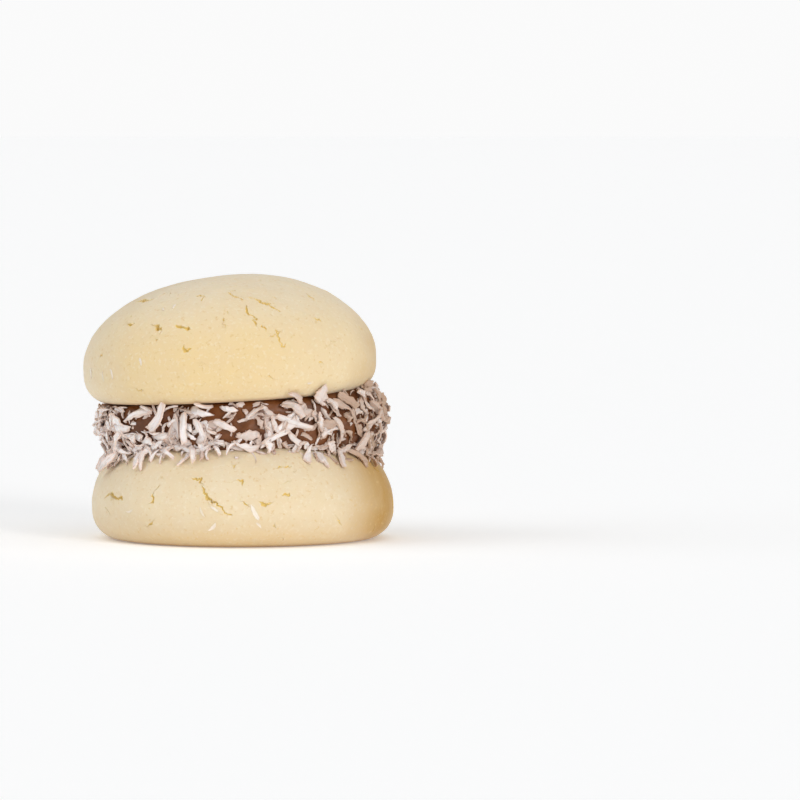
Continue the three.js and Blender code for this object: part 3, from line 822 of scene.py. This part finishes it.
def shred_mesh(bm, name):
    thickened(bm, SHRED_THICKNESS)
    for e in bm.edges:
        e.smooth = e.calc_face_angle(0) < SHARP_EDGE
    return smooth_mesh(bm, name)


def lay_big_shreds(bm):
    seed = 0
    for kind, shreds in BIG_SHREDS.items():
        for west, low, east, high, wide, wide_too in shreds:
            seed += 1
            start = bed_at(math.radians(west), low, BIG_SHRED_PROUD)
            lifted = mix(-0.15, 0.3, draw(seed, 48))
            end = bed_at(math.radians(east), high, BIG_SHRED_PROUD + lifted)
            add_shred(bm, kind, start, end, (wide, wide_too), 0.45, seed, 0.3 * draw(seed, 47))


def lay_slivers(bm):
    for seed, (west, low, east, high, wide, wide_too) in enumerate(SLIVERS, SLIVER_SEED):
        start = bed_at(math.radians(west), low, mix(*SLIVER_PROUD, draw(seed, 46)))
        end = bed_at(math.radians(east), high, mix(*SLIVER_PROUD, draw(seed, 48)))
        add_shred(bm, "strap", start, end, (wide, wide_too), 0.9, seed, 0.4 * draw(seed, 47))


def length_and_width(i, small, seed):
    """The size of scattered shred i: the first is the largest."""
    if small:
        length = mix(*SMALL_LENGTH, draw(seed, 41) ** 1.5)
        return length, mix(*SMALL_WIDTH, draw(seed, 42) ** 2)
    size = 1 - math.sqrt(min(0.9, i / SHREDS_ROLLED_ON))
    width = mix(*SHRED_WIDTH, draw(seed, 42)) * min(1, 0.6 + 0.7 * size)
    return mix(*SHRED_LENGTH, size), width


def scatter_shreds(bm):
    """Shreds all round: from the largest to the least, then small ones, then some at the foot."""
    for i in range(SHREDS_ROLLED_ON + SMALL_SHREDS + AT_THE_FOOT):
        seed = SCATTER_SEED + i
        largest = i < LARGEST_SHREDS
        small = SHREDS_ROLLED_ON <= i < SHREDS_ROLLED_ON + SMALL_SHREDS
        turn = 360 * ((i * EVEN_ROUND + 0.31) % 1) - 180
        azimuth = math.radians(turn)
        worn = np.interp(turn, (-40, 5), (0.57, 1))
        foot, head = bed_heights(azimuth)
        z = mix(foot, head, (i * EVEN_UP) % 1)
        if i >= SHREDS_ROLLED_ON + SMALL_SHREDS:
            z = foot + BED_BELOW + mix(-0.3, 0.7, draw(seed, 40))
        elif bare(turn, z) and (not small or draw(seed, 39) < BARE_OF_SMALL):
            continue
        elif abs(turn) < FRONT and draw(seed, 40) < (THINNED if largest else OTHERS_THINNED * worn):
            continue
        length, width = length_and_width(i, small, seed)
        room = min(1, (head + 0.4 - z) / (length / 2))
        heading = math.asin(max(-1, room)) * (2 * draw(seed, 43) - 1)
        run = math.degrees(length / 2 * math.cos(heading) / bed_radius(azimuth, z))
        rise = length / 2 * math.sin(heading)
        kind = SHRED_KINDS[int(6 * draw(seed, 44)) % 6]
        taper = mix(*SHRED_TAPER, draw(seed, 45)) if kind != "wedge" else WEDGE_TAPER
        widths = width * taper, width * (2 - taper)
        piled = abs(math.sin(azimuth)) ** 3
        standing = SMALL_STANDING if small else LARGEST_STANDING if largest else OTHERS_STANDING
        proud = LEAST_PROUD + standing * mix(0.5, 1, piled) * draw(seed, 46)
        lifted = 0 if small else standing * mix(0.5, 1, piled) * draw(seed, 48) ** 2
        west, east = (proud, proud + lifted) if draw(seed, 49) < 0.5 else (proud + lifted, proud)
        start = bed_at(math.radians(turn - run), z - rise, west)
        end = bed_at(math.radians(turn + run), z + rise, east)
        dull = worn * mix(1, 0.3, min(1, proud / 0.6)) * draw(seed, 47)
        add_shred(bm, kind, start, end, widths, mix(0.5, 1.1, piled), seed, dull)


def rolled_on_coconut():
    bm = new_shreds()
    lay_big_shreds(bm)
    lay_slivers(bm)
    scatter_shreds(bm)
    return shred_mesh(bm, "shredded_coconut")


def place_along(mat, axis):
    place = add_node(mat, "ShaderNodeTexCoord").outputs["Object"]
    return add_node(mat, "ShaderNodeSeparateXYZ", Vector=place).outputs[axis]


def dried_coconut(name, white, edge, dull):
    """White inside, tinted along torn edges and fibres, duller where caramel has smeared it; painted
    shade on the right.
    """
    mat = bpy.data.materials.new(name)
    mat.use_nodes = True
    shader = mat.node_tree.nodes["Principled BSDF"]
    drawn = add_node(
        mat, "ShaderNodeMapping", Vector=attribute(mat, "fibre", "Vector"), Scale=(0.35, 5.0, 3.7)
    )
    fibres = add_node(mat, "ShaderNodeTexNoise", Vector=drawn.outputs[0], Scale=1.0, Detail=2.0)
    lines = fibres.outputs[0]
    tone = colour_mix(mat, ramp(mat, attribute(mat, "rim"), (0.5, 1.0, 0, 0.75)), white, edge)
    tone = colour_mix(mat, ramp(mat, attribute(mat, "shade"), (0.1, 1.0, 0, 0.7)), tone, dull)
    tone = colour_mix(mat, ramp(mat, lines, (0.5, 0.75, 0, 0.45)), tone, (0.6, 0.45, 0.37, 1))
    # painted shade: shreds on the right are painted browner, the duller ones more, over some caramel
    # smear there
    right = ramp(mat, place_along(mat, 0), (0.004, 0.022, 0, 1))
    smeared = ramp(mat, attribute(mat, "shade"), (0.1, 0.7, 0.45, 1))
    share = add_node(mat, "ShaderNodeMath", {"operation": "MULTIPLY"})
    mat.node_tree.links.new(right, share.inputs[0])
    mat.node_tree.links.new(smeared, share.inputs[1])
    tone = colour_mix(mat, share.outputs[0], tone, (0.5, 0.34, 0.24, 1))
    mat.node_tree.links.new(tone, shader.inputs["Base Color"])
    bump = add_node(mat, "ShaderNodeBump", Height=lines, Strength=0.4)
    bump.inputs["Distance"].default_value = 0.0001
    mat.node_tree.links.new(bump.outputs[0], shader.inputs["Normal"])
    shader.inputs["Roughness"].default_value = 0.45
    shader.inputs["Subsurface Weight"].default_value = 0.2
    shader.inputs["Subsurface Radius"].default_value = (1.0, 0.65, 0.5)
    shader.inputs["Subsurface Scale"].default_value = 0.0008
    return mat


coconut_white = dried_coconut(
    "dried_coconut", (0.94, 0.87, 0.85, 1), (0.82, 0.62, 0.52, 1), (0.45, 0.26, 0.17, 1)
)
coconut = placed(rolled_on_coconut())
coconut.data.materials.append(coconut_white)
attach(coconut, "root")
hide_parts("filling")

# ---------------------------------------------------------------------------------------------
# Stray coconut: a few small bits that fell on the biscuits while the sides were rolled, and stuck
# to the crust.
# ---------------------------------------------------------------------------------------------
BIT_PROUD, BIT_WARP = 0.08, 0.15
# azimuth and elevation of one end, then of the other, in degrees, and the width at each
LOWER_BITS = (
    (-14, 2, -12, -2, 0.35, 0.25),
    (-10, 2, -7, 0, 0.5, 0.3),
    (-11, -7, -8, -4, 0.4, 0.6),
    (5, 3, 8, -3, 0.5, 0.9),
    (7, -4, 9, -6, 0.4, 0.3),
    (-48, -1, -44, 0, 0.3, 0.3),
)
UPPER_BITS = (
    (-68, 1, -67, -3, 0.5, 0.3),
    (-57, 0, -56, -4, 0.4, 0.3),
    (-51, 1, -50, -3, 0.5, 0.3),
    (-35, 5, -34, 2, 0.6, 0.4),
    (-34, 29, -32, 27, 0.3, 0.4),
    (-27, 31, -27, 28, 0.4, 0.3),
    (-38, 50, -36, 50, 0.4, 0.3),
    (33, -8, 35, -8, 0.3, 0.3),
)


def stray_coconut(name, bits, size, phase, seed):
    bm = new_shreds()
    for i, (azimuth, elevation, azimuth_too, elevation_too, wide, wide_too) in enumerate(bits):
        ends = []
        for a, e in ((azimuth, elevation), (azimuth_too, elevation_too)):
            place = crust_points(direction_of(a, e), size, phase)
            out = crust_normals(place, size)[0]
            ends.append((place[0] + out * BIT_PROUD + (0, 0, BELLY_HEIGHT * size), out))
        add_shred(bm, "leaf", *ends, (wide, wide_too), 0.1, seed + i, 0, BIT_WARP)
    return shred_mesh(bm, name)


floury_coconut = dried_coconut(
    "floury_coconut", (0.9, 0.78, 0.66, 1), (0.85, 0.73, 0.57, 1), (0.8, 0.68, 0.5, 1)
)
lower_bits = placed(stray_coconut("stray_coconut_below", LOWER_BITS, 1, LOWER_PHASE, 3000))
upper_bits = placed(
    stray_coconut("stray_coconut_above", UPPER_BITS, UPPER_SIZE, UPPER_PHASE, 3100),
    -UPPER_TILT,
    UPPER_SEAT,
)
for bits, biscuit in ((lower_bits, "lower_biscuit"), (upper_bits, "upper_biscuit")):
    bits.data.materials.append(floury_coconut)
    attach(bits, "root")
    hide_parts(biscuit)

# ---------------------------------------------------------------------------------------------
# Stage: a white table that glows a little, soft light from the front right, the left and above, and
# the camera, which looks almost level at the cookie through a long lens.
# ---------------------------------------------------------------------------------------------
FLOOR_SIZE = 60.0
CAMERA_DISTANCE = 0.9
CAMERA_RISE = math.radians(2.9)
FRAME_WIDTH = 0.1328
SENSOR_WIDTH = 36
AIM = Vector((0.0268, 0, 0.0229))

bm = bmesh.new()
bmesh.ops.create_grid(bm, x_segments=1, y_segments=1, size=FLOOR_SIZE / 2)
floor_mesh = smooth_mesh(bm, "floor")
floor = bpy.data.objects.new("floor", floor_mesh)
bpy.context.collection.objects.link(floor)
floor_mat = bpy.data.materials.new("white_table")
floor_mat.use_nodes = True
table = floor_mat.node_tree.nodes["Principled BSDF"]
table.inputs["Base Color"].default_value = (0.98, 0.98, 0.98, 1)
table.inputs["Roughness"].default_value = 0.9
table.inputs["Emission Color"].default_value = (1, 1, 1, 1)
table.inputs["Emission Strength"].default_value = 0.18
floor_mesh.materials.append(floor_mat)

world = bpy.data.worlds.new("studio")
world.use_nodes = True
bpy.context.scene.world = world
nodes, links = world.node_tree.nodes, world.node_tree.links
soft_fill = nodes["Background"]
soft_fill.inputs["Color"].default_value = (1, 1, 1, 1)
soft_fill.inputs["Strength"].default_value = 0.23
white_back = nodes.new("ShaderNodeBackground")
white_back.inputs["Color"].default_value = (1, 1, 1, 1)
white_back.inputs["Strength"].default_value = 0.96
chooser = nodes.new("ShaderNodeMixShader")
links.new(nodes.new("ShaderNodeLightPath").outputs["Is Camera Ray"], chooser.inputs[0])
links.new(soft_fill.outputs[0], chooser.inputs[1])
links.new(white_back.outputs[0], chooser.inputs[2])
links.new(chooser.outputs[0], nodes["World Output"].inputs["Surface"])


def soft_sun(name, azimuth, elevation, spread, strength, colour=(1, 1, 1)):
    """A softbox so large and far off that it lights the floor evenly, from this side and height."""
    data = bpy.data.lights.new(name, "SUN")
    data.angle, data.energy, data.color = math.radians(spread), strength, colour
    light = bpy.data.objects.new(name, data)
    a, e = math.radians(azimuth), math.radians(elevation)
    source = Vector((math.sin(a) * math.cos(e), -math.cos(a) * math.cos(e), math.sin(e)))
    light.rotation_euler = source.to_track_quat("Z", "Y").to_euler()
    bpy.context.collection.objects.link(light)


soft_sun("front", 36, 12, 20, 1.34)
soft_sun("left", -80, 20, 60, 0.95, (0.92, 0.96, 1))
soft_sun("top", 0, 80, 90, 1.27)

camera = bpy.data.objects.new("camera", bpy.data.cameras.new("camera"))
camera.data.sensor_width = SENSOR_WIDTH
camera.data.lens = SENSOR_WIDTH * CAMERA_DISTANCE / FRAME_WIDTH
camera.location = AIM + CAMERA_DISTANCE * Vector((0, -math.cos(CAMERA_RISE), math.sin(CAMERA_RISE)))
camera.rotation_euler = (math.radians(90) - CAMERA_RISE, 0, 0)
bpy.context.collection.objects.link(camera)
bpy.context.scene.camera = camera
bpy.context.scene.view_settings.view_transform = "Standard"
